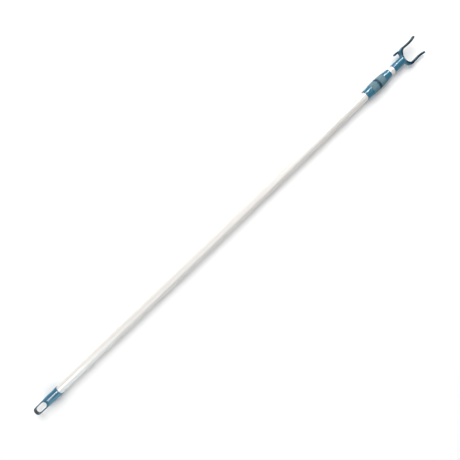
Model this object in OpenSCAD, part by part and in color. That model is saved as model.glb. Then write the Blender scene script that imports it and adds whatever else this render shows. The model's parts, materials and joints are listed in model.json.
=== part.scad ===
// Telescopic pole with a fork and a side hook at its head, and a hanging eye at its foot.
// It lies closed along X, head towards +X, on the plane z = 0. Sizes are in millimetres.
// Modules measure x from the eye's tip, with the pole's axis on y = z = 0; placed() moves
// each piece into the part's own frame.

/* [Pole] */
// Length when closed, from the eye's tip to the fork's tips
closed_length = 1500; // [1000:10:2000]
// Outside diameter of the outer tube
outer_tube_d = 25; // [24:0.5:30]
// Wall of both tubes
tube_wall = 0.5; // [0.4:0.05:0.7]
// Gap between the outer tube's bore and the inner tube
tube_gap = 1; // [0.9:0.05:1.2]
// How far the inner tube's foot plug stands above the eye's tip
foot_plug_x = 90; // [70:1:200]
// Length of inner tube that shows between the collar and the fork
exposed_inner = 14; // [4:1:60]

/* [Hanging eye] */
// Length of the end cap
cap_length = 94; // [88:1:120]
// Width of the slot
slot_w = 16.5; // [10:0.5:17]
// Length of the slot
slot_l = 38.5; // [25:0.5:40]
// Depth of the eye through the slot
eye_depth = 12; // [10:1:18]

/* [Collar] */
// Length of the collar's lower sleeve
sleeve_l = 45; // [42:1:60]
// Length of the clamping nut
nut_l = 43; // [40:1:50]
// Greatest radius of the collar, which the pole lies on
collar_r = 16.2; // [16.2:0.1:18]
// Number of ribs around each grip band
grip_ribs = 44; // [24:2:60]

/* [Fork] */
// Length of the head, from its mouth to the fork's tips
head_l = 104; // [98:1:130]
// Distance across the inside of the fork
fork_gap = 43; // [40:1:48]
// Thickness of the fork's band
band_t = 6.5; // [5:0.5:7]
// Depth of the fork's band, square to the fork
band_depth = 10.7; // [9:0.1:13]
// Greatest distance of a fork tip from the pole's axis
tip_reach = 30; // [28:0.5:33]
// Length of the side hook, from the fork's back
hook_l = 15.5; // [12:0.5:18]
// Roll of the head about the pole
head_roll = 14; // [0:1:20]

/* [Hidden] */
$fn = 96;

blue = "steelblue";
ivory = "ivory";
rubber = "darkslategray";
nylon = "whitesmoke";
metal = "silver";

fit = 0.02;          // between pieces that are fixed together
running = 0.08;      // between pieces that slide or turn on each other
thread_gap = 0.2;    // between the two threads, which are plain surfaces here
past = 1;            // how far a cutter runs past the face it cuts

tube_r = outer_tube_d / 2;
tube_bore_r = tube_r - tube_wall;
inner_r = tube_bore_r - tube_gap;
inner_bore_r = inner_r - tube_wall;

// Stations along the pole
tube_x = 60;
head_x = closed_length - head_l;
nut_end_x = head_x - exposed_inner;
nut_x = nut_end_x - nut_l;
ring_w = 5.2;
ring_gap = ring_w + 0.4;
sleeve_end_x = nut_x - ring_gap;
sleeve_x = sleeve_end_x - sleeve_l;
tube_end_x = sleeve_end_x - 12;

// Collar, with lengths measured from the lower sleeve's end
pass_r = inner_r + 0.3;          // bore that the inner tube passes through
spigot_l = 14;
spigot_r = inner_r + 2.3;
seat_r = inner_r + 1.1;          // bore around the collet's tail
seat_flare = 0.5;                // how much the collet's cone widens
seat_start = 4.5;
cone_start = 9;
flange_start = spigot_l + 0.2;
flange_end = 18.5;
shoulder = 19.4;                 // nut's inside shoulder, which the washer sits on
cavity_r = spigot_r + thread_gap;
band_floor_r = tube_r + 2;       // bottom of the lower sleeve's grip recess
nut_floor_r = tube_r + 1.8;      // bottom of the nut's grip recess
grip_from = -22;
grip_to = -2.2;
nut_grip_from = 7.1;
nut_grip_to = 25.5;
rib_height = 0.5;

// Foot of the inner tube
inner_x = foot_plug_x + 20;
groove_x = foot_plug_x + 7;
groove_w = 6.4;
groove_r = inner_r - 1.4;
plug_r = inner_r - 0.1;

// Head
socket_l = 41;
socket_depth = 33;
socket_r = inner_r + 0.95;
inner_end_x = head_x + socket_depth;
saddle_x = head_x + 45.7;        // lowest point of the fork's inside
saddle_depth = 14;               // from there to where the arms run straight
u_x = saddle_x + saddle_depth;
u_depth = saddle_depth + band_t / 2;
u_half = fork_gap / 2 + band_t / 2;
tip_x = closed_length - band_t / 2;
tip_y = tip_reach - band_t / 2;
tip_depth = 9;
edge_in = 1.2;                   // step that rounds the band's edges, across it
edge_down = 1.5;                 // and the same step, down its side
back_x = saddle_x - 5;           // flat back of the upper shoulder
shoulder_power = 3;              // 2 would make the back of the bend an ellipse, more makes it squarer
shoulder_y = 8;                  // where the flat back starts, inside the socket
hook_t = 5.5;
hook_depth = 8;
hook_edge = 0.8;                 // step that rounds the hook's edges
hook_y = u_half + 1.5;           // distance of the hook's middle from the pole's axis
hook_root_x = saddle_x + 3;      // where it joins the arm
hook_drop = 3.5;                 // how far it comes down there
u_steps = 24;                    // straight pieces in each quarter of the fork's bend
arm_steps = 16;                  // in each arm
end_steps = 8;                   // and around each round end

// Rivets
rivet_r = 1.6;
rivet_head_r = 3;
rivet_head_h = 1;
rivet_bulb_r = 2.4;
rivet_bulb_h = 2.2;
cap_rivet_x = 72;
head_rivet_x = head_x + 24;

// Cap outline: distance from the tip, then radius
cap_body_r = tube_r + 0.6;
cap_mouth_r = tube_r + 1.4;
cap_outline = [
    [0, tube_r - 0.4], [40, tube_r], [52, cap_body_r], [76, cap_body_r],
    [84, cap_body_r + 0.3], [cap_length - 3, cap_mouth_r], [cap_length - 0.8, cap_mouth_r],
    [cap_length, cap_mouth_r - 0.6],
];

// Frames

module placed() { translate([-closed_length / 2, 0, collar_r]) children(); }

module along_x(x) { translate([x, 0, 0]) rotate([0, 90, 0]) children(); }

module rolled() { rotate([head_roll, 0, 0]) children(); }

// Shapes that repeat

// Sleeve around the pole's axis between two stations
module sleeve(x0, x1, r_out, r_in) {
    along_x(x0) difference() {
        cylinder(h = x1 - x0, r = r_out);
        translate([0, 0, -past]) cylinder(h = x1 - x0 + 2 * past, r = r_in);
    }
}

// Solid turned about the pole's axis; each point is a distance from x, then a radius
module turned(x, outline) {
    along_x(x) rotate_extrude() polygon([for (p = outline) [p[1], p[0]]]);
}

// Soft band whose outside is a wave of lengthwise ribs
module ribbed_band(x0, x1, r_out, r_in) {
    steps = grip_ribs * 8;
    wave = [for (i = [0 : steps - 1])
        let (a = 360 * i / steps, r = r_out - rib_height * (1 - cos(grip_ribs * a)) / 2)
        [r * cos(a), r * sin(a)]];
    along_x(x0) difference() {
        linear_extrude(x1 - x0) polygon(wave);
        translate([0, 0, -past]) cylinder(h = x1 - x0 + 2 * past, r = r_in);
    }
}

// Blind rivet through a wall below the axis; the head stands on the outer surface
module rivet(x, r_out, r_in) {
    translate([x, 0, 0]) {
        translate([0, 0, -r_out - rivet_head_h])
            cylinder(h = rivet_head_h, r1 = rivet_head_r - 1, r2 = rivet_head_r);
        translate([0, 0, -r_out]) cylinder(h = r_out - r_in + 1, r = rivet_r);
        translate([0, 0, -r_in + 0.3]) cylinder(h = rivet_bulb_h, r = rivet_bulb_r);
    }
}

module rivet_hole(x, r_out) {
    translate([x, 0, -r_out - past]) cylinder(h = r_out + past, r = rivet_r + fit);
}

// Outer pole

module end_cap() {
    color(blue) placed() difference() {
        intersection() {
            turned(0, concat([[0, 0]], cap_outline, [[cap_length, 0]]));
            eye_plan();
            eye_side();
        }
        slot();
        along_x(tube_x) cylinder(h = cap_length, r = tube_r + fit);
        rivet_hole(cap_rivet_x, cap_mouth_r);
    }
}

// Rounded tip, seen from above
module eye_plan() {
    r = tube_r - 0.4;
    linear_extrude(4 * tube_r, center = true) {
        translate([r, 0]) circle(r = r);
        translate([r, -2 * tube_r]) square([cap_length, 4 * tube_r]);
    }
}

// Flattened eye with a rounded edge, seen from the side
module eye_side() {
    h = eye_depth / 2;
    top = [[0, h - 4], [0.6, h - 2.4], [1.8, h - 1], [4, h], [43, h], [46, h + 1.5], [54, tube_r + 2],
        [58, 2 * tube_r], [cap_length, 2 * tube_r]];
    bottom = [for (i = [len(top) - 1 : -1 : 0]) [top[i][0], -top[i][1]]];
    rotate([90, 0, 0]) linear_extrude(4 * tube_r, center = true) polygon(concat(top, bottom));
}

module slot() {
    rim = 3.7;
    linear_extrude(4 * tube_r, center = true) {
        translate([rim + slot_w / 2, 0]) circle(d = slot_w);
        translate([rim + slot_l - slot_w / 2, 0]) circle(d = slot_w);
        translate([rim + slot_w / 2, -slot_w / 2]) square([slot_l - slot_w, slot_w]);
    }
}

module cap_rivet() { color(metal) placed() rivet(cap_rivet_x, cap_body_r, tube_bore_r); }

module outer_tube() {
    color(ivory) placed() difference() {
        sleeve(tube_x, tube_end_x, tube_r, tube_bore_r);
        rivet_hole(cap_rivet_x, tube_r);
    }
}

module collar_body() {
    mouth_r = tube_r + 1.7;
    edge_r = collar_r - 0.2;
    bore_r = tube_r + fit;
    color(blue) placed() turned(sleeve_end_x, [
        [-sleeve_l, bore_r], [-sleeve_l, mouth_r - 0.5], [-sleeve_l + 0.8, mouth_r],
        [-sleeve_l + 10, mouth_r + 0.1], [-28, mouth_r + 0.4], [grip_from, tube_r + 2.9],
        [grip_from, band_floor_r], [grip_to, band_floor_r], [grip_to, edge_r - 0.3],
        [grip_to + 0.8, edge_r], [-0.8, edge_r], [0, edge_r - 0.4],
        [0, spigot_r], [spigot_l, spigot_r],
        [spigot_l, seat_r + seat_flare], [cone_start, seat_r], [seat_start, seat_r], [seat_start, pass_r],
        [-10.5, pass_r], [-10.5, bore_r],
    ]);
}

module lower_grip() {
    color(rubber) placed() ribbed_band(
        sleeve_end_x + grip_from + 0.1, sleeve_end_x + grip_to - 0.1,
        collar_r - 0.45, band_floor_r + fit
    );
}

module seal_ring() {
    inner = spigot_r + fit;
    color(rubber) placed() turned(sleeve_end_x, [
        [0, inner], [0, collar_r - 0.8], [0.8, collar_r],
        [ring_w - 0.8, collar_r], [ring_w, collar_r - 0.8], [ring_w, inner],
    ]);
}

module stop_sleeve() {
    color(nylon) placed() {
        sleeve(tube_end_x - 38, tube_end_x + 1.3, tube_bore_r - fit, inner_r + running);
        sleeve(tube_end_x + fit, tube_end_x + 1.3, tube_r - 0.1, tube_bore_r - 2 * fit);
    }
}

// Clamp

module collet() {
    tail_r = seat_r - 0.1;
    slit_w = 1.2;
    bore_r = inner_r + running;
    color(nylon) placed() difference() {
        turned(sleeve_end_x, [
            [seat_start + 0.5, bore_r], [seat_start + 0.5, tail_r], [cone_start, tail_r],
            [spigot_l, tail_r + seat_flare], [flange_start, tail_r + seat_flare],
            [flange_start, spigot_r - 0.2], [flange_end, spigot_r - 0.2], [flange_end, bore_r],
        ]);
        for (a = [0, 90]) rotate([a, 0, 0])
            translate([sleeve_end_x, -2 * tube_r, -slit_w / 2]) cube([spigot_l - 1, 4 * tube_r, slit_w]);
    }
}

module thrust_washer() {
    color(metal) placed() sleeve(
        sleeve_end_x + flange_end + 0.15, sleeve_end_x + shoulder - fit, spigot_r, pass_r + 0.1
    );
}

module collar_nut() {
    lip_r = tube_r + 3;
    color(blue) placed() turned(sleeve_end_x, [
        [ring_gap, cavity_r], [ring_gap, lip_r - 0.4], [ring_gap + 0.4, lip_r], [nut_grip_from, lip_r],
        [nut_grip_from, nut_floor_r], [nut_grip_to, nut_floor_r], [nut_grip_to, lip_r - 0.5],
        [nut_grip_to + 1, lip_r - 0.8], [ring_gap + 26, tube_r + 1.4], [ring_gap + 33, tube_r + 0.6],
        [ring_gap + nut_l - 5, tube_r], [ring_gap + nut_l - 0.6, tube_r - 0.4],
        [ring_gap + nut_l, tube_r - 0.8], [ring_gap + nut_l, pass_r],
        [shoulder, pass_r], [shoulder, cavity_r],
    ]);
}

module nut_grip() {
    color(rubber) placed() ribbed_band(
        sleeve_end_x + nut_grip_from + 0.1, sleeve_end_x + nut_grip_to - 0.1,
        tube_r + 2.9, nut_floor_r + fit
    );
}

// Inner pole

module guide_ring() {
    side_play = 0.2;
    split_w = 1.5;
    color(nylon) placed() difference() {
        sleeve(
            groove_x + side_play, groove_x + groove_w - side_play,
            tube_bore_r - running, groove_r + running
        );
        translate([groove_x, 0, -split_w / 2]) cube([groove_w, tube_r, split_w]);
    }
}

module guide_plug() {
    press_r = inner_bore_r - fit;
    color(nylon) placed() turned(0, [
        [foot_plug_x, 0], [foot_plug_x, plug_r - 2], [foot_plug_x + 2, plug_r],
        [groove_x, plug_r], [groove_x, groove_r],
        [groove_x + groove_w, groove_r], [groove_x + groove_w, plug_r],
        [inner_x - fit, plug_r], [inner_x - fit, press_r], [inner_x + 24, press_r],
        [inner_x + 25, press_r - 1], [inner_x + 25, 0],
    ]);
}

module inner_tube() {
    color(ivory) placed() difference() {
        sleeve(inner_x, inner_end_x, inner_r, inner_bore_r);
        rolled() rivet_hole(head_rivet_x, inner_r);
    }
}

// The fork's centreline, from the middle of its bend (0) to a tip (-1 or 1)
arm_control = [[u_x, u_half], [u_x + 14, u_half - 0.2], [u_x + 28, u_half - 2.5], [tip_x, tip_y]];
function bend_point(angle) = [u_x - u_depth * cos(angle), u_half * sin(angle)];
function bezier(c, t) =
    c[0] * pow(1 - t, 3) + c[1] * 3 * t * pow(1 - t, 2) + c[2] * 3 * pow(t, 2) * (1 - t) + c[3] * pow(t, 3);
function line_point(p) = let (q = abs(p), side = p < 0 ? -1 : 1, b = bezier(arm_control, 2 * q - 1))
    q <= 0.5 ? bend_point(180 * p) : [b[0], side * b[1]];
function line_normal(p) = let (e = 0.001, d = line_point(min(p + e, 1)) - line_point(max(p - e, -1)))
    [-d[1], d[0]] / norm(d);

places = concat(
    [for (i = [arm_steps : -1 : 1]) -0.5 - 0.5 * i / arm_steps],
    [for (i = [-u_steps : u_steps]) 0.5 * i / u_steps],
    [for (i = [1 : arm_steps]) 0.5 + 0.5 * i / arm_steps]
);

// Half circle from one side of a line's end to the other, around its tip
function end_arc(centre, from, along, r) =
    [for (i = [1 : end_steps - 1]) let (a = 180 * i / end_steps)
        centre + r * (cos(a) * from + sin(a) * along)];

function line_along(p) = let (n = line_normal(p)) [n[1], -n[0]];

// Band of even thickness along the centreline, with round tips
module band_outline(half_t) {
    polygon(concat(
        [for (p = places) line_point(p) - line_normal(p) * half_t],
        end_arc(line_point(1), -line_normal(1), line_along(1), half_t),
        [for (i = [len(places) - 1 : -1 : 0]) line_point(places[i]) + line_normal(places[i]) * half_t],
        end_arc(line_point(-1), line_normal(-1), -line_along(-1), half_t)
    ));
}

// Web that squares the back of the fork's bend
module web_outline() {
    web = [for (p = places) if (abs(p) <= 0.5) p];
    function squared(v) = (v < 0 ? -1 : 1) * pow(abs(v), 2 / shoulder_power);
    polygon(concat(
        [for (p = web) line_point(p)],
        [for (i = [len(web) - 1 : -1 : 0]) let (a = 180 * web[i])
            [u_x - (u_depth + band_t / 2) * squared(cos(a)), (u_half + band_t / 2) * squared(sin(a))]]
    ));
}

// Fill between the bend and the side hook, with a flat back
module shoulder_outline() {
    polygon([
        [saddle_x, shoulder_y], [saddle_x + 6, u_half - band_t],
        [hook_root_x, hook_y - hook_drop], [back_x, hook_y - hook_t / 4], [back_x, shoulder_y],
    ]);
}

// Hook that runs back from the fork's upper shoulder
module hook_outline(half_t) {
    tip = [back_x - hook_l + hook_t / 2, hook_y];
    knee = [back_x - 3, hook_y];
    root = [hook_root_x, hook_y - hook_drop];
    polygon(concat(
        [[back_x, hook_y - half_t], root - [0, half_t]],
        [root + [0, half_t], knee + [0, half_t], tip + [0, half_t]],
        end_arc(tip, [0, 1], [-1, 0], half_t),
        [tip - [0, half_t]]
    ));
}

// Depth of the fork's band, narrowing to its tips, seen from the side
module side_taper() {
    h = band_depth / 2;
    x0 = saddle_x - 2 * hook_l;
    x1 = closed_length + past;
    rotate([90, 0, 0]) linear_extrude(4 * tip_reach, center = true)
        polygon([[x0, -h], [u_x, -h], [tip_x - band_t, -tip_depth / 2], [x1, -tip_depth / 2],
            [x1, tip_depth / 2], [tip_x - band_t, tip_depth / 2], [u_x, h], [x0, h]]);
}

module fork_head() {
    color(blue) placed() rolled() difference() {
        union() {
            intersection() {
                linear_extrude(band_depth + 2 * past, center = true) band_outline(band_t / 2 - edge_in);
                side_taper();
            }
            linear_extrude(band_depth - 2 * edge_down, center = true) band_outline(band_t / 2);
            linear_extrude(band_depth - 2 * edge_down, center = true) web_outline();
            linear_extrude(band_depth - 2 * edge_down, center = true) shoulder_outline();
            linear_extrude(hook_depth, center = true) hook_outline(hook_t / 2 - hook_edge);
            linear_extrude(hook_depth - 2 * hook_edge, center = true) hook_outline(hook_t / 2);
            turned(head_x, [
                [0, 0], [0, socket_r + 0.1], [0.4, socket_r + 0.3], [1.6, socket_r + 0.3],
                [2.2, socket_r], [socket_l - 1, socket_r],
                [socket_l + 0.5, socket_r - 2], [socket_l + 0.5, 0],
            ]);
        }
        along_x(head_x - past) cylinder(h = socket_depth + past + fit, r = inner_r + fit);
        rivet_hole(head_rivet_x, socket_r);
    }
}

module head_rivet() { color(metal) placed() rolled() rivet(head_rivet_x, socket_r, inner_bore_r); }

end_cap();
cap_rivet();
outer_tube();
collar_body();
lower_grip();
seal_ring();
stop_sleeve();
collet();
thrust_washer();
collar_nut();
nut_grip();
guide_ring();
guide_plug();
inner_tube();
fork_head();
head_rivet();
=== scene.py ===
"""A telescopic pole with a forked head, closed, lying on a white table and seen from above.

Units are metres.
"""
import json
import math

import bmesh
import bpy
import numpy as np
from mathutils import Matrix, Vector


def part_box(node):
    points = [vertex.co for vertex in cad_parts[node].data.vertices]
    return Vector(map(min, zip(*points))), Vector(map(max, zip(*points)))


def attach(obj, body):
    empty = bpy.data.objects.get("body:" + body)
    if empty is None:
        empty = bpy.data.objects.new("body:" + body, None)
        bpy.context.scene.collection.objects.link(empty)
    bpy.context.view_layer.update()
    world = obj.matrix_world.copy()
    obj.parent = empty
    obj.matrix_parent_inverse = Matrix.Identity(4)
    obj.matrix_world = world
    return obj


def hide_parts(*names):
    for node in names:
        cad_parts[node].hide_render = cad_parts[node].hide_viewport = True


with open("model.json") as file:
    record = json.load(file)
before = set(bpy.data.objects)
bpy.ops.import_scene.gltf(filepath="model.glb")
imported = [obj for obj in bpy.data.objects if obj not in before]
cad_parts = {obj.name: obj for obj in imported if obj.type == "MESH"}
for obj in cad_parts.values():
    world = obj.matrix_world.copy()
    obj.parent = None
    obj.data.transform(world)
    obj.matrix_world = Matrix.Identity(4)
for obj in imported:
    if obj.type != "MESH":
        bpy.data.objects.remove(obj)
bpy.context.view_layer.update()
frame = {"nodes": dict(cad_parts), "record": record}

MM = 0.001
nodes = frame["nodes"]

# Places, from the frame

cap_lo, cap_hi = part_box("end_cap")
tube_lo, tube_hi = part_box("outer_tube")
inner_lo, inner_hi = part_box("inner_tube")
sleeve_lo, sleeve_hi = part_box("collar_body")
nut_lo, nut_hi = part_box("collar_nut")
ring_lo, ring_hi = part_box("seal_ring")
head_lo, head_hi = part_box("fork_head")

AXIS_Z = (ring_lo.z + ring_hi.z) / 2          # height of the pole's axis
TUBE_R = (tube_hi.z - tube_lo.z) / 2
INNER_R = (inner_hi.z - inner_lo.z) / 2
RING_R = (ring_hi.z - ring_lo.z) / 2
FIT = 0.02 * MM                               # between touching surfaces
MERGE_DISTANCE = 1e-7


def radius_of(node):
    lo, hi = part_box(node)
    return (hi.z - lo.z) / 2


# Mesh helpers


def link(name, mesh):
    piece = bpy.data.objects.new(name, mesh)
    bpy.context.scene.collection.objects.link(piece)
    return piece


def smooth(piece, sharp_deg=40):
    piece.data.shade_smooth()
    piece.data.set_sharp_from_angle(angle=math.radians(sharp_deg))
    return piece


def mesh_piece(name, points, faces, sharp_deg=40):
    mesh = bpy.data.meshes.new(name)
    mesh.from_pydata([tuple(p) for p in points], [], faces)
    bm = bmesh.new()
    bm.from_mesh(mesh)
    bmesh.ops.remove_doubles(bm, verts=bm.verts, dist=MERGE_DISTANCE)
    bmesh.ops.recalc_face_normals(bm, faces=bm.faces)
    bm.to_mesh(mesh)
    bm.free()
    return smooth(link(name, mesh), sharp_deg)


def bm_piece(name, bm):
    """Turns a BMesh into a piece and frees it."""
    mesh = bpy.data.meshes.new(name)
    bm.to_mesh(mesh)
    bm.free()
    return link(name, mesh)


def ring_faces(around, rows):
    """Faces between closed outlines of a number of rows, placed around an axis."""
    faces = []
    for s in range(around):
        n = (s + 1) % around
        faces += [(s * rows + i, s * rows + (i + 1) % rows, n * rows + (i + 1) % rows, n * rows + i)
                  for i in range(rows)]
    return faces


def skin_faces(rings, sides):
    """Faces between rings of points that follow each other, with both ends closed."""
    faces = []
    for k in range(rings - 1):
        for s in range(sides):
            n = (s + 1) % sides
            faces.append((k * sides + s, k * sides + n, (k + 1) * sides + n, (k + 1) * sides + s))
    faces.append(tuple(range(sides - 1, -1, -1)))
    last = (rings - 1) * sides
    faces.append(tuple(last + s for s in range(sides)))
    return faces


def slab(name, outline, depth, middle_z=0.0):
    """Flat plate of an outline in x and y, centred on a height."""
    count = len(outline)
    points = [(x, y, middle_z - depth / 2) for x, y in outline]
    points += [(x, y, middle_z + depth / 2) for x, y in outline]
    faces = [tuple(range(count - 1, -1, -1)), tuple(range(count, 2 * count))]
    faces += [(i, (i + 1) % count, count + (i + 1) % count, count + i) for i in range(count)]
    return mesh_piece(name, points, faces)


def fillet(corners, steps=4):
    """Closed outline from (x, r, fillet) corners, each rounded by a short curve."""
    longest = 0.45                            # share of an edge that a curve can take
    outline = []
    count = len(corners)
    for i, (x, r, size) in enumerate(corners):
        here = Vector((x, r))
        if size <= 0:
            outline.append(here)
            continue
        before = Vector(corners[i - 1][:2]) - here
        after = Vector(corners[(i + 1) % count][:2]) - here
        start = here + before.normalized() * min(size, before.length * longest)
        end = here + after.normalized() * min(size, after.length * longest)
        for k in range(steps + 1):
            t = k / steps
            outline.append(start * (1 - t) ** 2 + here * 2 * t * (1 - t) + end * t ** 2)
    return outline


def turned(name, corners, segments=144, steps=4):
    """Ring or solid turned about the pole's axis from a closed outline of (x, r, fillet) corners."""
    outline = fillet(corners, steps)
    rows = len(outline)
    points = []
    for s in range(segments):
        a = 2 * math.pi * s / segments
        points += [(p.x, p.y * math.cos(a), AXIS_Z + p.y * math.sin(a)) for p in outline]
    return mesh_piece(name, points, ring_faces(segments, rows), sharp_deg=50)


def ribbed_band(name, node, ribs, floor_r, swell=0.0):
    """Grip band with rounded lengthwise ribs that run out at both ends, wider by the swell at its start."""
    lo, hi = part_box(node)
    top_r = radius_of(node) + swell
    length = hi.x - lo.x
    groove = 0.5 * MM
    end_drop = 0.8 * MM
    rib_power = 0.7                           # below 1, so that a rib is wider than its groove
    points_per_rib = 10
    around = ribs * points_per_rib
    end_stations = [(0.0, 1.0), (0.15, 0.45), (0.5, 0.12), (1.0, 0.0)]
    along = [(lo.x + d * MM, drop) for d, drop in end_stations]
    along += [(lo.x + length * k / 8, 0.0) for k in range(1, 8)]
    along += [(hi.x - d * MM, drop) for d, drop in reversed(end_stations)]
    points = []
    for s in range(around):
        a = 2 * math.pi * s / around
        valley = groove * (1 - abs(math.cos(ribs * a / 2)) ** rib_power)
        ring = [(lo.x, floor_r)]
        ring += [(x, top_r - 2 * swell * (x - lo.x) / length - valley - drop * end_drop)
                 for x, drop in along]
        ring += [(hi.x, floor_r)]
        points += [(x, r * math.cos(a), AXIS_Z + r * math.sin(a)) for x, r in ring]
    return mesh_piece(name, points, ring_faces(around, len(along) + 2), sharp_deg=60)


def use_modifier(piece, kind, **settings):
    modifier = piece.modifiers.new(kind, kind)
    for key, value in settings.items():
        setattr(modifier, key, value)
    bpy.context.view_layer.update()
    evaluated = piece.evaluated_get(bpy.context.evaluated_depsgraph_get())
    mesh = bpy.data.meshes.new_from_object(evaluated)
    old = piece.data
    piece.modifiers.clear()
    piece.data = mesh
    bpy.data.meshes.remove(old)
    return piece


def cut(piece, cutter):
    use_modifier(piece, "BOOLEAN", operation="DIFFERENCE", solver="EXACT", object=cutter)
    bpy.data.objects.remove(cutter)


def moulded(piece, voxel, rounds):
    """Melts a rough solid into one skin with small fillets, as a moulded piece has."""
    use_modifier(piece, "REMESH", mode="VOXEL", voxel_size=voxel, adaptivity=0.0)
    use_modifier(piece, "SMOOTH", factor=0.5, iterations=rounds)
    return piece


def join(name, pieces):
    bm = bmesh.new()
    for piece in pieces:
        bm.from_mesh(piece.data)
        bpy.data.objects.remove(piece)
    return bm_piece(name, bm)


def rod(name, start, end, radius, segments=96):
    """Closed cylinder between two points, used to cut bores."""
    axis = end - start
    turn = axis.to_track_quat("Z", "Y").to_matrix().to_4x4()
    bm = bmesh.new()
    bmesh.ops.create_cone(bm, cap_ends=True, segments=segments,
                          radius1=radius, radius2=radius, depth=axis.length)
    bmesh.ops.transform(bm, verts=bm.verts, matrix=Matrix.Translation((start + end) / 2) @ turn)
    return bm_piece(name, bm)


# Attribute that marks where the material paints shade
PAINTED_SHADE = "painted_shade"


def mark_painted_shade(piece, share):
    """Marks each vertex of a piece with a share from 0 to 1, for the shade that the material paints."""
    mesh = piece.data
    marks = mesh.attributes.new(PAINTED_SHADE, "FLOAT", "POINT")
    for vertex in mesh.vertices:
        marks.data[vertex.index].value = share(vertex.co, vertex.normal)


def stand_for(piece, node, body):
    """Puts a piece in a CAD node's place, on the node's body."""
    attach(piece, body)
    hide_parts(node)
    return piece


# End cap with its hanging eye

EYE_HALF_DEPTH = 6 * MM
EYE_R = TUBE_R - 0.4 * MM
CAP_BODY_R = TUBE_R + 0.6 * MM
CAP_MOUTH_R = radius_of("end_cap")
SLOT_W = 16.5 * MM
SLOT_RIM = 3.7 * MM
SLOT_L = 38.5 * MM

# Ranges of distance from the eye's tip
EYE_TO_BODY = (20 * MM, 56 * MM)            # the cap widens from the eye
FLAT_TO_ROUND = (41.5 * MM, 54 * MM)        # the flattened eye turns round
BODY_TO_MOUTH = (74 * MM, 91 * MM)          # the cap flares at the tube
TIP_PAINTED_SHADE_END = (7 * MM, 14 * MM)            # the painted shade on the tip fades out
EYE_PAINTED_SHADE_END = (36 * MM, 44 * MM)           # the rest of the eye's painted shade does
TIP_EDGE = 4 * MM                           # length of the tip's rounding, seen from the side
TIP_EDGE_SHARE = 0.62                       # depth that is left at the very tip


def blend_value(x, x0, x1, v0, v1):
    """Smooth step from v0 to v1 between x0 and x1."""
    t = min(max((x - x0) / (x1 - x0), 0.0), 1.0)
    t = t * t * (3 - 2 * t)
    return v0 + (v1 - v0) * t


def cap_section(d):
    """Radius, half width and half depth of the cap at a distance from its tip."""
    r = blend_value(d, *EYE_TO_BODY, EYE_R, CAP_BODY_R)
    r = blend_value(d, *BODY_TO_MOUTH, r, CAP_MOUTH_R)
    half_w = r
    if d < EYE_R:
        half_w = math.sqrt(max(EYE_R ** 2 - (EYE_R - d) ** 2, 0.0))
    half_d = blend_value(d, *FLAT_TO_ROUND, EYE_HALF_DEPTH, r)
    if d < TIP_EDGE:
        bulge = math.sqrt(max(1 - (1 - d / TIP_EDGE) ** 2, 0.0))
        half_d = EYE_HALF_DEPTH * (TIP_EDGE_SHARE + (1 - TIP_EDGE_SHARE) * bulge)
    return r, half_w, half_d


def eye_painted_shade(co, normal):
    """Share of painted shade on the cap: all of it on the eye's tip, less on its sides."""
    d = co.x - cap_lo.x
    return blend_value(d, *TIP_PAINTED_SHADE_END, 1.0, blend_value(d, *EYE_PAINTED_SHADE_END, 0.8, 0.0))


def end_cap():
    length = cap_hi.x - cap_lo.x
    around = 96
    steps = 90
    crowding = 1.25                           # rings are closer together near the tip
    distances = [length * (k / steps) ** crowding for k in range(steps + 1)]
    points = []
    for d in distances:
        r, half_w, half_d = cap_section(d)
        for s in range(around):
            a = 2 * math.pi * s / around
            y = max(-half_w, min(half_w, r * math.cos(a)))
            z = max(-half_d, min(half_d, r * math.sin(a)))
            points.append((cap_lo.x + d, y, AXIS_Z + z))
    body = mesh_piece("end_cap_shell", points, skin_faces(len(distances), around))
    cut(body, slab("slot_cutter", slot_outline(), 4 * TUBE_R, AXIS_Z))
    moulded(body, voxel=0.45 * MM, rounds=5)
    bore_start = Vector((tube_lo.x, 0, AXIS_Z))
    bore_end = Vector((cap_hi.x + 5 * MM, 0, AXIS_Z))
    cut(body, rod("bore", bore_start, bore_end, TUBE_R + FIT))
    # painted shade over the eye, strongest at its tip
    mark_painted_shade(body, eye_painted_shade)
    return stand_for(smooth(body), "end_cap", "outer_pole")


def slot_outline():
    half = SLOT_W / 2
    near = cap_lo.x + SLOT_RIM + half
    far = cap_lo.x + SLOT_RIM + SLOT_L - half
    steps = 32
    outline = [(near - half * math.sin(math.pi * k / steps), half * math.cos(math.pi * k / steps))
               for k in range(steps + 1)]
    outline += [(far + half * math.sin(math.pi * k / steps), -half * math.cos(math.pi * k / steps))
                for k in range(steps + 1)]
    return outline


# Collar, with every corner given as (x, r, fillet)

GRIP_RIBS = 44
SPIGOT_R = INNER_R + 2.3 * MM               # the lower sleeve's threaded end, inside the nut
SEAT_R = INNER_R + 1.1 * MM                 # the bore that holds the collet
PASS_R = INNER_R + 0.3 * MM                 # the bore that the inner tube passes through
CAVITY_R = SPIGOT_R + 0.2 * MM              # the nut's thread
LOWER_FLOOR_R = TUBE_R + 2 * MM             # bottom of the lower sleeve's grip recess
NUT_FLOOR_R = TUBE_R + 1.8 * MM             # and of the nut's
RECESS_GAP = 0.1 * MM                       # between a recess's end and its grip band


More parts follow.
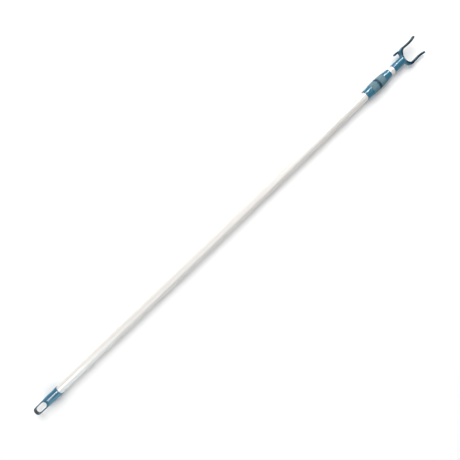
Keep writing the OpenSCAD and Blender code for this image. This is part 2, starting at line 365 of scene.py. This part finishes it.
def lower_sleeve():
    end = ring_lo.x
    mouth = sleeve_lo.x
    mouth_r = TUBE_R + 1.7 * MM
    edge_r = RING_R - 0.2 * MM
    bore_r = TUBE_R + FIT
    tube_stop = tube_hi.x + 1.5 * MM
    band_lo, band_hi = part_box("lower_grip")
    recess_start = band_lo.x - RECESS_GAP
    recess_end = band_hi.x + RECESS_GAP
    corners = [
        (mouth, bore_r, 0), (mouth, mouth_r, 0.9 * MM),
        (mouth + 10 * MM, mouth_r + 0.1 * MM, 8 * MM), (mouth + 17 * MM, mouth_r + 0.4 * MM, 6 * MM),
        (recess_start, TUBE_R + 2.9 * MM, 0.5 * MM), (recess_start, LOWER_FLOOR_R, 0),
        (recess_end, LOWER_FLOOR_R, 0), (recess_end, edge_r, 0.6 * MM),
        (end, edge_r, 0.6 * MM), (end, SPIGOT_R, 0),
        (sleeve_hi.x, SPIGOT_R, 0.3 * MM), (sleeve_hi.x, SEAT_R + 0.5 * MM, 0),
        (end + 9 * MM, SEAT_R, 0), (end + 4.5 * MM, SEAT_R, 0), (end + 4.5 * MM, PASS_R, 0),
        (tube_stop, PASS_R, 0), (tube_stop, bore_r, 0),
    ]
    piece = turned("collar_sleeve_shell", corners)
    return stand_for(piece, "collar_body", "outer_pole")


def nut():
    start, end = nut_lo.x, nut_hi.x
    shoulder = start + 13.8 * MM
    lip_r = TUBE_R + 3 * MM
    band_lo, band_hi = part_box("nut_grip")
    recess_start = band_lo.x - RECESS_GAP
    recess_end = band_hi.x + RECESS_GAP
    corners = [
        (start, CAVITY_R, 0.2 * MM), (start, lip_r, 0.5 * MM),
        (recess_start, lip_r, 0.4 * MM), (recess_start, NUT_FLOOR_R, 0),
        (recess_end, NUT_FLOOR_R, 0), (recess_end, lip_r - 0.5 * MM, 0.6 * MM),
        (start + 26 * MM, TUBE_R + 1.4 * MM, 3 * MM), (start + 33 * MM, TUBE_R + 0.6 * MM, 4 * MM),
        (end - 4 * MM, TUBE_R - 0.1 * MM, 3 * MM), (end, TUBE_R - 0.5 * MM, 0.6 * MM),
        (end, PASS_R, 0.2 * MM), (shoulder, PASS_R, 0), (shoulder, CAVITY_R, 0),
    ]
    piece = turned("collar_nut_shell", corners)
    return stand_for(piece, "collar_nut", "nut")


def dark_ring():
    inner = SPIGOT_R + FIT
    edge = 1.4 * MM
    corners = [
        (ring_lo.x, inner, 0), (ring_lo.x, RING_R, edge), (ring_hi.x, RING_R, edge), (ring_hi.x, inner, 0),
    ]
    piece = turned("seal_ring_shell", corners, steps=6)
    return stand_for(piece, "seal_ring", "outer_pole")


def grips():
    lower = ribbed_band("lower_grip_ribs", "lower_grip", GRIP_RIBS, LOWER_FLOOR_R + FIT)
    stand_for(lower, "lower_grip", "outer_pole")
    upper = ribbed_band("nut_grip_ribs", "nut_grip", GRIP_RIBS, NUT_FLOOR_R + FIT, swell=0.35 * MM)
    stand_for(upper, "nut_grip", "nut")
    return [lower, upper]


# Head: socket, fork and side hook in one moulding, shaped flat and then rolled about the pole's axis

BAND_T = 6.5 * MM
BAND_DEPTH = 10.7 * MM
TIP_DEPTH = 9 * MM
TIP_REACH = 30 * MM                         # from the pole's axis to a tip's outer edge
FORK_GAP = 43 * MM                          # between the prongs, where they leave the bend
SADDLE_DEPTH = 14 * MM                      # from the middle of the bend to where the prongs start
SHOULDER_POWER = 3                          # 2 would make the back of the bend an ellipse
SHOULDER_Y = 8 * MM                         # where the shoulder's flat back starts, inside the socket
EDGE_ROUNDING = 1 * MM                      # how much shallower than the band its fills are
HOOK_L = 15.5 * MM
HOOK_T = 5.5 * MM
HOOK_DEPTH = 8 * MM
HOOK_DROP = 3.5 * MM                        # how far the hook comes down where it joins the arm
SOCKET_L = 41 * MM
SOCKET_DEPTH = 33 * MM
SOCKET_R = INNER_R + 0.95 * MM
ROLL = math.radians(14)

SADDLE_X = head_lo.x + 45.7 * MM
BACK_X = SADDLE_X - 5 * MM                  # the shoulder's flat back
BEND_X = SADDLE_X + SADDLE_DEPTH
BEND_DEPTH = SADDLE_DEPTH + BAND_T / 2
BEND_HALF = FORK_GAP / 2 + BAND_T / 2
HOOK_Y = BEND_HALF + 1.5 * MM
HOOK_ROOT_X = SADDLE_X + 3 * MM
TIP = Vector((head_hi.x - BAND_T / 2, TIP_REACH - BAND_T / 2))
ARM = [                                     # control points of a prong's curve
    Vector((BEND_X, BEND_HALF)), Vector((BEND_X + 14 * MM, BEND_HALF - 0.2 * MM)),
    Vector((BEND_X + 28 * MM, BEND_HALF - 2.5 * MM)), TIP,
]


def line_point(p):
    """The fork's centreline, from the middle of its bend (0) to a tip (-1 or 1)."""
    if abs(p) <= 0.5:
        a = math.pi * p
        return Vector((BEND_X - BEND_DEPTH * math.cos(a), BEND_HALF * math.sin(a)))
    t = 2 * abs(p) - 1
    start, end = ARM[0] * (1 - t) ** 3, ARM[3] * t ** 3
    b = start + ARM[1] * 3 * t * (1 - t) ** 2 + ARM[2] * 3 * t * t * (1 - t) + end
    return Vector((b.x, math.copysign(b.y, p)))


def line_along(p):
    """Direction of the fork's centreline."""
    e = 0.001
    return (line_point(min(p + e, 1)) - line_point(max(p - e, -1))).normalized()


def swept(name, stations, sides=28, power=4.5):
    """Skin over stations of (centre, along, half thickness, half depth); a greater power is squarer."""
    points = []
    for centre, along, half_t, half_d in stations:
        across = Vector((-along.y, along.x))
        for s in range(sides):
            a = 2 * math.pi * s / sides
            c, d = math.cos(a), math.sin(a)
            u = math.copysign(abs(c) ** (2 / power), c) * half_t
            w = math.copysign(abs(d) ** (2 / power), d) * half_d
            flat = centre + across * u
            points.append((flat.x, flat.y, w))
    return mesh_piece(name, points, skin_faces(len(stations), sides))


def round_end(centre, along, half_t, half_d, steps=6):
    """Stations that close a sweep with a round end beyond a point."""
    least = 0.04                              # width that is left at the very end
    depth_share = 0.7                         # how much of the width's loss the depth takes too
    made = []
    for k in range(1, steps + 1):
        a = math.pi / 2 * k / steps
        shrink = max(math.cos(a), least)
        made.append((centre + along * half_t * math.sin(a), along, half_t * shrink,
                     half_d - half_t * (1 - shrink) * depth_share))
    return made


def fork_band():
    """The band, which gets shallower towards its tips."""
    stations = []
    count = 120
    for k in range(count + 1):
        p = -1 + 2 * k / count
        share = min(max((abs(p) - 0.5) / 0.4, 0.0), 1.0)
        half_d = (BAND_DEPTH + (TIP_DEPTH - BAND_DEPTH) * share) / 2
        stations.append((line_point(p), line_along(p), BAND_T / 2, half_d))
    first = round_end(line_point(-1), -line_along(-1), BAND_T / 2, TIP_DEPTH / 2)
    last = round_end(line_point(1), line_along(1), BAND_T / 2, TIP_DEPTH / 2)
    head = [(c, -a, t, d) for c, a, t, d in reversed(first)]
    return swept("fork_band", head + stations + last)


def fork_web():
    """Web that squares the back of the fork's bend."""
    steps = 40
    squareness = 2 / SHOULDER_POWER
    inner, outer = [], []
    for k in range(steps + 1):
        p = -0.5 + k / steps
        a = math.pi * p
        inner.append(tuple(line_point(p)))
        back = max(math.cos(a), 0.0) ** squareness if abs(p) < 0.5 else 0.0
        side = math.copysign(abs(math.sin(a)) ** squareness, a)
        outer.append((BEND_X - (BEND_DEPTH + BAND_T / 2) * back, (BEND_HALF + BAND_T / 2) * side))
    return slab("fork_web", outer + inner[::-1], BAND_DEPTH - EDGE_ROUNDING)


def shoulder_fill():
    """Fill between the bend and the side hook, with a flat back."""
    outline = [
        (SADDLE_X, SHOULDER_Y), (SADDLE_X + 6 * MM, BEND_HALF - BAND_T), (HOOK_ROOT_X, HOOK_Y - HOOK_DROP),
        (BACK_X, HOOK_Y - HOOK_T / 4), (BACK_X, SHOULDER_Y),
    ]
    return slab("shoulder_fill", outline, BAND_DEPTH - EDGE_ROUNDING)


def side_hook():
    """Hook that runs back along the pole from the fork's upper shoulder."""
    tip = Vector((BACK_X - HOOK_L + HOOK_T / 2, HOOK_Y))
    knee = Vector((BACK_X - 2 * MM, HOOK_Y))
    root = Vector((HOOK_ROOT_X, HOOK_Y - HOOK_DROP))
    path = fillet([(root.x, root.y, 0), (knee.x, knee.y, 4 * MM), (tip.x, tip.y, 0)], steps=8)
    stations = []
    for i, here in enumerate(path):
        ahead = path[min(i + 1, len(path) - 1)]
        back = path[max(i - 1, 0)]
        stations.append((here, (ahead - back).normalized(), HOOK_T / 2, HOOK_DEPTH / 2))
    return swept("side_hook", stations + round_end(tip, Vector((-1, 0)), HOOK_T / 2, HOOK_DEPTH / 2))


def socket_solid():
    rim_r = SOCKET_R + 0.35 * MM
    corners = [
        (head_lo.x, 0), (head_lo.x, SOCKET_R - 0.1 * MM), (head_lo.x + 0.4 * MM, rim_r),
        (head_lo.x + 1.8 * MM, rim_r), (head_lo.x + 2.6 * MM, SOCKET_R),
        (head_lo.x + SOCKET_L - 1 * MM, SOCKET_R), (head_lo.x + SOCKET_L + 0.5 * MM, SOCKET_R - 2 * MM),
        (head_lo.x + SOCKET_L + 0.5 * MM, 0),
    ]
    segments = 96
    points = [(x, r * math.cos(2 * math.pi * s / segments), r * math.sin(2 * math.pi * s / segments))
              for s in range(segments) for x, r in corners]
    rows = len(corners)
    faces = []
    for s in range(segments):
        n = (s + 1) % segments
        faces += [(s * rows + i, s * rows + i + 1, n * rows + i + 1, n * rows + i) for i in range(rows - 1)]
    return mesh_piece("socket", points, faces)


OUTER_PAINTED_SHADE = 0.3                           # painted shade on the fork's outer side
ARM_STEPS = 40
ARM_LINE = [line_point(0.5 + 0.5 * k / ARM_STEPS) for k in range(ARM_STEPS + 1)]
ARM_X = [point.x for point in ARM_LINE]
ARM_Y = [point.y for point in ARM_LINE]


def inner_painted_shade(co):
    """Share of painted shade: 1 on the fork's inner side, and less on the outer side of its bend and of the
    lower prong.
    """
    if co.x < BEND_X:
        out = ((co.x - BEND_X) / SADDLE_DEPTH) ** 2 + (2 * co.y / FORK_GAP) ** 2
        return blend_value(out, 1.5, 2.0, 1.0, OUTER_PAINTED_SHADE)
    if co.y > 0:
        return 1.0
    centre = np.interp(co.x, ARM_X, ARM_Y)
    return blend_value(-co.y - centre, 0.1 * BAND_T, 0.45 * BAND_T, 1.0, OUTER_PAINTED_SHADE)


def fork_painted_shade(co, normal):
    """Share of painted shade on the head: most on the flat edges, which face out of the fork's plane."""
    clear = blend_value(math.hypot(co.y, co.z), SOCKET_R + 0.5 * MM, SOCKET_R + 3 * MM, 0.0, 1.0)
    clear = max(clear, blend_value(co.x, BACK_X, SADDLE_X, 0.0, 1.0))
    side = blend_value(co.x, SADDLE_X, BEND_X, 0.3, 1.0)
    flat = blend_value(abs(normal.z), 0.5, 0.9, side, 1.0)
    hook = blend_value(co.x, BACK_X - 2 * MM, BACK_X + 2 * MM, 1.0, 0.0)
    return clear * flat * max(hook, inner_painted_shade(co))


def fork_head():
    solids = [fork_band(), fork_web(), shoulder_fill(), side_hook(), socket_solid()]
    piece = moulded(join("fork_head_shell", solids), voxel=0.4 * MM, rounds=4)
    bore_start = Vector((head_lo.x - 5 * MM, 0, 0))
    bore_end = Vector((head_lo.x + SOCKET_DEPTH + FIT, 0, 0))
    cut(piece, rod("bore", bore_start, bore_end, INNER_R + FIT))
    # painted shade on the fork's flat edges and inner side
    mark_painted_shade(piece, fork_painted_shade)
    piece.data.transform(Matrix.Translation((0, 0, AXIS_Z)) @ Matrix.Rotation(ROLL, 4, "X"))
    return stand_for(smooth(piece), "fork_head", "inner_pole")


# Materials


def linear(r, g, b):
    """Linear colour from 0-255 display values."""
    return [((c / 255 + 0.055) / 1.055) ** 2.4 if c > 10 else c / 255 / 12.92 for c in (r, g, b)] + [1.0]


class Finish:
    """A Principled material with colour drift, uneven gloss and a fine surface grain."""

    def __init__(self, name, colour, drift, roughness, grain, grain_size,
                 metallic=0.0, coat=0.0, stretch=1.0, specular=0.5):
        self.material = bpy.data.materials.new(name)
        self.material.use_nodes = True
        self.tree = self.material.node_tree
        self.shader = self.tree.nodes["Principled BSDF"]
        self.shader.inputs["Metallic"].default_value = metallic
        self.shader.inputs["Specular IOR Level"].default_value = specular
        self.shader.inputs["Coat Weight"].default_value = coat
        self.shader.inputs["Coat Roughness"].default_value = 0.12
        place = self.node("ShaderNodeTexCoord").outputs["Object"]
        self.mapped = self.node("ShaderNodeMapping")
        self.mapped.inputs["Scale"].default_value = (1 / stretch, 1, 1)
        self.link(place, self.mapped.inputs["Vector"])
        broad = self.noise(18, 3)
        mix = self.node("ShaderNodeMixRGB")
        mix.inputs["Color1"].default_value = [c * (1 - drift) for c in colour[:3]] + [1]
        mix.inputs["Color2"].default_value = [min(c * (1 + drift), 1) for c in colour[:3]] + [1]
        self.link(broad, mix.inputs["Fac"])
        self.colour = mix.outputs["Color"]
        self.link(self.colour, self.shader.inputs["Base Color"])
        low, high = roughness
        self.link(self.ranged(self.noise(60, 4), low, high), self.shader.inputs["Roughness"])
        bump = self.node("ShaderNodeBump")
        bump.inputs["Strength"].default_value = grain
        bump.inputs["Distance"].default_value = 0.1 * MM
        self.link(self.noise(grain_size, 6), bump.inputs["Height"])
        self.link(bump.outputs["Normal"], self.shader.inputs["Normal"])

    def node(self, kind):
        return self.tree.nodes.new(kind)

    def link(self, source, target):
        self.tree.links.new(source, target)

    def noise(self, scale, detail):
        texture = self.node("ShaderNodeTexNoise")
        texture.inputs["Scale"].default_value = scale
        texture.inputs["Detail"].default_value = detail
        self.link(self.mapped.outputs["Vector"], texture.inputs["Vector"])
        return texture.outputs["Fac"]

    def ranged(self, value, low, high, start=0.3, stop=0.7):
        node = self.node("ShaderNodeMapRange")
        node.inputs["From Min"].default_value = start
        node.inputs["From Max"].default_value = stop
        node.inputs["To Min"].default_value = low
        node.inputs["To Max"].default_value = high
        self.link(value, node.inputs["Value"])
        return node.outputs["Result"]

    def shifted(self, share, colour):
        """Shifts the colour towards a second one by a share from 0 to 1."""
        mix = self.node("ShaderNodeMixRGB")
        mix.inputs["Color2"].default_value = colour
        self.link(share, mix.inputs["Fac"])
        self.link(self.colour, mix.inputs["Color1"])
        self.colour = mix.outputs["Color"]
        self.link(self.colour, self.shader.inputs["Base Color"])
        return self

    def paint_edge_shade_and_highlight(self, colour, amount):
        """Shifts convex edges towards a second colour: a darker one paints shade there, a lighter one
        paints a highlight.
        """
        edge = self.ranged(self.node("ShaderNodeNewGeometry").outputs["Pointiness"], 0.0, amount, 0.53, 0.6)
        return self.shifted(edge, colour)

    def paint_marked_shade(self, colour, amount):
        """Paints shade by shifting the places that a mesh marks towards a second colour."""
        mark = self.node("ShaderNodeAttribute")
        mark.attribute_name = PAINTED_SHADE
        return self.shifted(self.ranged(mark.outputs["Fac"], 0.0, amount, 0.0, 1.0), colour)


def make_materials():
    blue = Finish("blue_plastic_gloss", linear(46, 105, 130), drift=0.07, roughness=(0.18, 0.28),
                  grain=0.25, grain_size=1500, specular=0.3)
    # painted shade on the rounded edges
    blue.paint_edge_shade_and_highlight(linear(26, 62, 80), 0.5)
    # painted shade on the eye's tip and on the fork's flat edges
    blue.paint_marked_shade(linear(6, 34, 50), 0.95)
    grip = Finish("grip_soft", linear(82, 118, 130), drift=0.06, roughness=(0.4, 0.52),
                  grain=0.6, grain_size=2600, specular=0.25)
    # painted highlight on the rib crests
    grip.paint_edge_shade_and_highlight(linear(112, 146, 154), 0.4)
    ring = Finish("ring_dark", linear(10, 34, 50), drift=0.08, roughness=(0.6, 0.75),
                  grain=0.4, grain_size=2200, specular=0.3)
    tube = Finish("tube_coating", linear(214, 211, 207), drift=0.02, roughness=(0.3, 0.42),
                  grain=0.2, grain_size=900, coat=0.25, stretch=6)
    nylon = Finish("nylon", linear(226, 226, 218), drift=0.04, roughness=(0.4, 0.55),
                   grain=0.3, grain_size=1600)
    washer = Finish("washer_steel", linear(170, 172, 176), drift=0.06, roughness=(0.3, 0.45),
                    grain=0.3, grain_size=2400, metallic=1.0, stretch=0.2)
    rivet = Finish("rivet_metal", linear(186, 188, 192), drift=0.06, roughness=(0.28, 0.42),
                   grain=0.3, grain_size=2400, metallic=1.0)
    return {
        "blue_plastic": blue.material, "grip_rubber": grip.material, "ring_rubber": ring.material,
        "coated_tube": tube.material, "nylon": nylon.material, "washer_steel": washer.material,
        "rivet_metal": rivet.material,
    }


def give(piece, material):
    piece.data.materials.clear()
    piece.data.materials.append(material)


# Stage

IMAGE = 460                                 # width of the picture, in its own units
FOCAL = 450                                 # in the same units, so that the view is 54 degrees wide
VIEW_WIDTH = 2.82 * IMAGE * MM              # what the picture spans at the height of the pole's axis
POLE_LEAN = math.radians(43.89)             # the pole's slant in the picture
CAMERA_AIM = Vector((0.0019, -0.0080))      # where the picture's middle is
FLOOR_HALF = 12                             # half the floor's side


def stage():
    corners = [(-1, -1), (1, -1), (1, 1), (-1, 1)]
    points = [(x * FLOOR_HALF, y * FLOOR_HALF, 0) for x, y in corners]
    floor = mesh_piece("floor", points, [(0, 1, 2, 3)])
    paper = Finish("floor_paper", linear(250, 250, 250), drift=0.005, roughness=(0.7, 0.8),
                   grain=0.1, grain_size=400)
    give(floor, paper.material)


def hang_light(name, data, target, direction, distance):
    """Puts a light at a distance from its target, in a unit direction."""
    light = bpy.data.objects.new(name, data)
    light.location = Vector(target) + direction * distance
    bpy.context.scene.collection.objects.link(light)
    return light


def area_light(name, target, direction, distance, size, power,
               size_y=None, sheen_only=False, colour=(1, 1, 1)):
    """Soft light that faces its target from a direction; a sheen-only light is just seen in reflections."""
    data = bpy.data.lights.new(name, "AREA")
    data.energy = power
    data.color = colour
    data.shape = "RECTANGLE"
    data.size = size
    data.size_y = size_y or size
    direction = Vector(direction).normalized()
    light = hang_light(name, data, target, direction, distance)
    along = (Vector((1, 0, 0)) - direction * direction.x).normalized()
    turn = Matrix((along, direction.cross(along), direction)).transposed()
    light.rotation_euler = turn.to_euler()
    light.visible_diffuse = not sheen_only
    return light


def spot_light(name, target, direction, distance, cone_deg, power):
    """Small soft pool of light that opens up the shadow at its target, and isn't seen in reflections."""
    data = bpy.data.lights.new(name, "SPOT")
    data.energy = power
    data.spot_size = math.radians(cone_deg)
    data.spot_blend = 1
    direction = Vector(direction).normalized()
    light = hang_light(name, data, target, direction, distance)
    light.rotation_euler = direction.to_track_quat("Z", "Y").to_euler()
    light.visible_glossy = False


def room_light(zenith, horizon):
    """White room whose walls are brighter than its ceiling."""
    world = bpy.data.worlds.new("room")
    world.use_nodes = True
    tree = world.node_tree
    place = tree.nodes.new("ShaderNodeTexCoord")
    split = tree.nodes.new("ShaderNodeSeparateXYZ")
    height = tree.nodes.new("ShaderNodeMapRange")
    height.inputs["From Min"].default_value = 0.0
    height.inputs["From Max"].default_value = 1.0
    height.inputs["To Min"].default_value = horizon
    height.inputs["To Max"].default_value = zenith
    tree.links.new(place.outputs["Generated"], split.inputs["Vector"])
    tree.links.new(split.outputs["Z"], height.inputs["Value"])
    tree.links.new(height.outputs["Result"], tree.nodes["Background"].inputs["Strength"])
    tree.nodes["Background"].inputs["Color"].default_value = (1, 1, 1, 1)
    bpy.context.scene.world = world


# Directions that the lights come from
KEY_FROM = (0.25, 0.6, 0.75)
FILL_FROM = (-0.2, -0.75, 0.6)
HEAD_GLOSS = (0.46, 0.58, 0.68)             # the head's highlight
CAP_GLOSS = (-0.49, 0.24, 0.87)             # the cap's
CAP_SIDE = (-0.49, -0.86, 0.2)              # and a soft tinted gloss on the cap's -Y side
TUBE_GLOSS = (-0.18, -0.3, 0.93)
PRONG_FROM = (0, -0.85, 0.5)                # low, so that it reaches under the lower prong

# Places on the floor that the small lights open up
EYE_FLOOR = (cap_lo.x + 20 * MM, 0, 0)
PRONG_FLOOR = (head_hi.x - 18 * MM, -48 * MM, 0)


def lights():
    room_light(zenith=0.15, horizon=0.6)
    key = area_light("key", (0, 0, 0), KEY_FROM, distance=3.0, size=2.6, power=105)
    key.visible_glossy = False
    fill = area_light("fill", (0, 0, 0), FILL_FROM, distance=3.0, size=2.6, power=30)
    fill.visible_glossy = False
    cap = (cap_lo.x, 0, AXIS_Z)
    head = (head_lo.x, 0, AXIS_Z)
    middle = (0, 0, AXIS_Z)
    area_light("cap_panel", cap, CAP_SIDE, distance=1.4, size=1.0, power=18,
               size_y=0.8, sheen_only=True, colour=(0.5, 0.9, 1.0))
    area_light("head_strip", head, HEAD_GLOSS, distance=1.6, size=1.4, power=76,
               size_y=0.2, sheen_only=True)
    area_light("cap_strip", cap, CAP_GLOSS, distance=1.6, size=0.6, power=36,
               size_y=0.16, sheen_only=True)
    area_light("tube_strip", middle, TUBE_GLOSS, distance=1.6, size=2.4, power=32,
               size_y=0.35, sheen_only=True)
    spot_light("eye_light", EYE_FLOOR, (0, 0, 1), distance=1.0, cone_deg=5, power=8)
    spot_light("prong_light", PRONG_FLOOR, PRONG_FROM, distance=1.1, cone_deg=4, power=20)


def camera():
    data = bpy.data.cameras.new("camera")
    data.sensor_width = 36
    data.lens = data.sensor_width * FOCAL / IMAGE
    data.clip_start = 0.01
    made = bpy.data.objects.new("camera", data)
    height = VIEW_WIDTH / IMAGE * FOCAL
    made.location = (CAMERA_AIM.x, CAMERA_AIM.y, AXIS_Z + height)
    made.rotation_euler = (0, 0, -POLE_LEAN)
    bpy.context.scene.collection.objects.link(made)
    bpy.context.scene.camera = made


# Making

camera()
materials = make_materials()
made = {
    "blue_plastic": [end_cap(), lower_sleeve(), nut(), fork_head()],
    "ring_rubber": [dark_ring()],
    "grip_rubber": grips(),
}
for slot_name, pieces in made.items():
    for piece in pieces:
        give(piece, materials[slot_name])
for part in frame["record"]["subparts"]:
    give(nodes[part["node"]], materials[part["material_slot"]])
stage()
lights()
bpy.context.scene.view_settings.view_transform = "Standard"
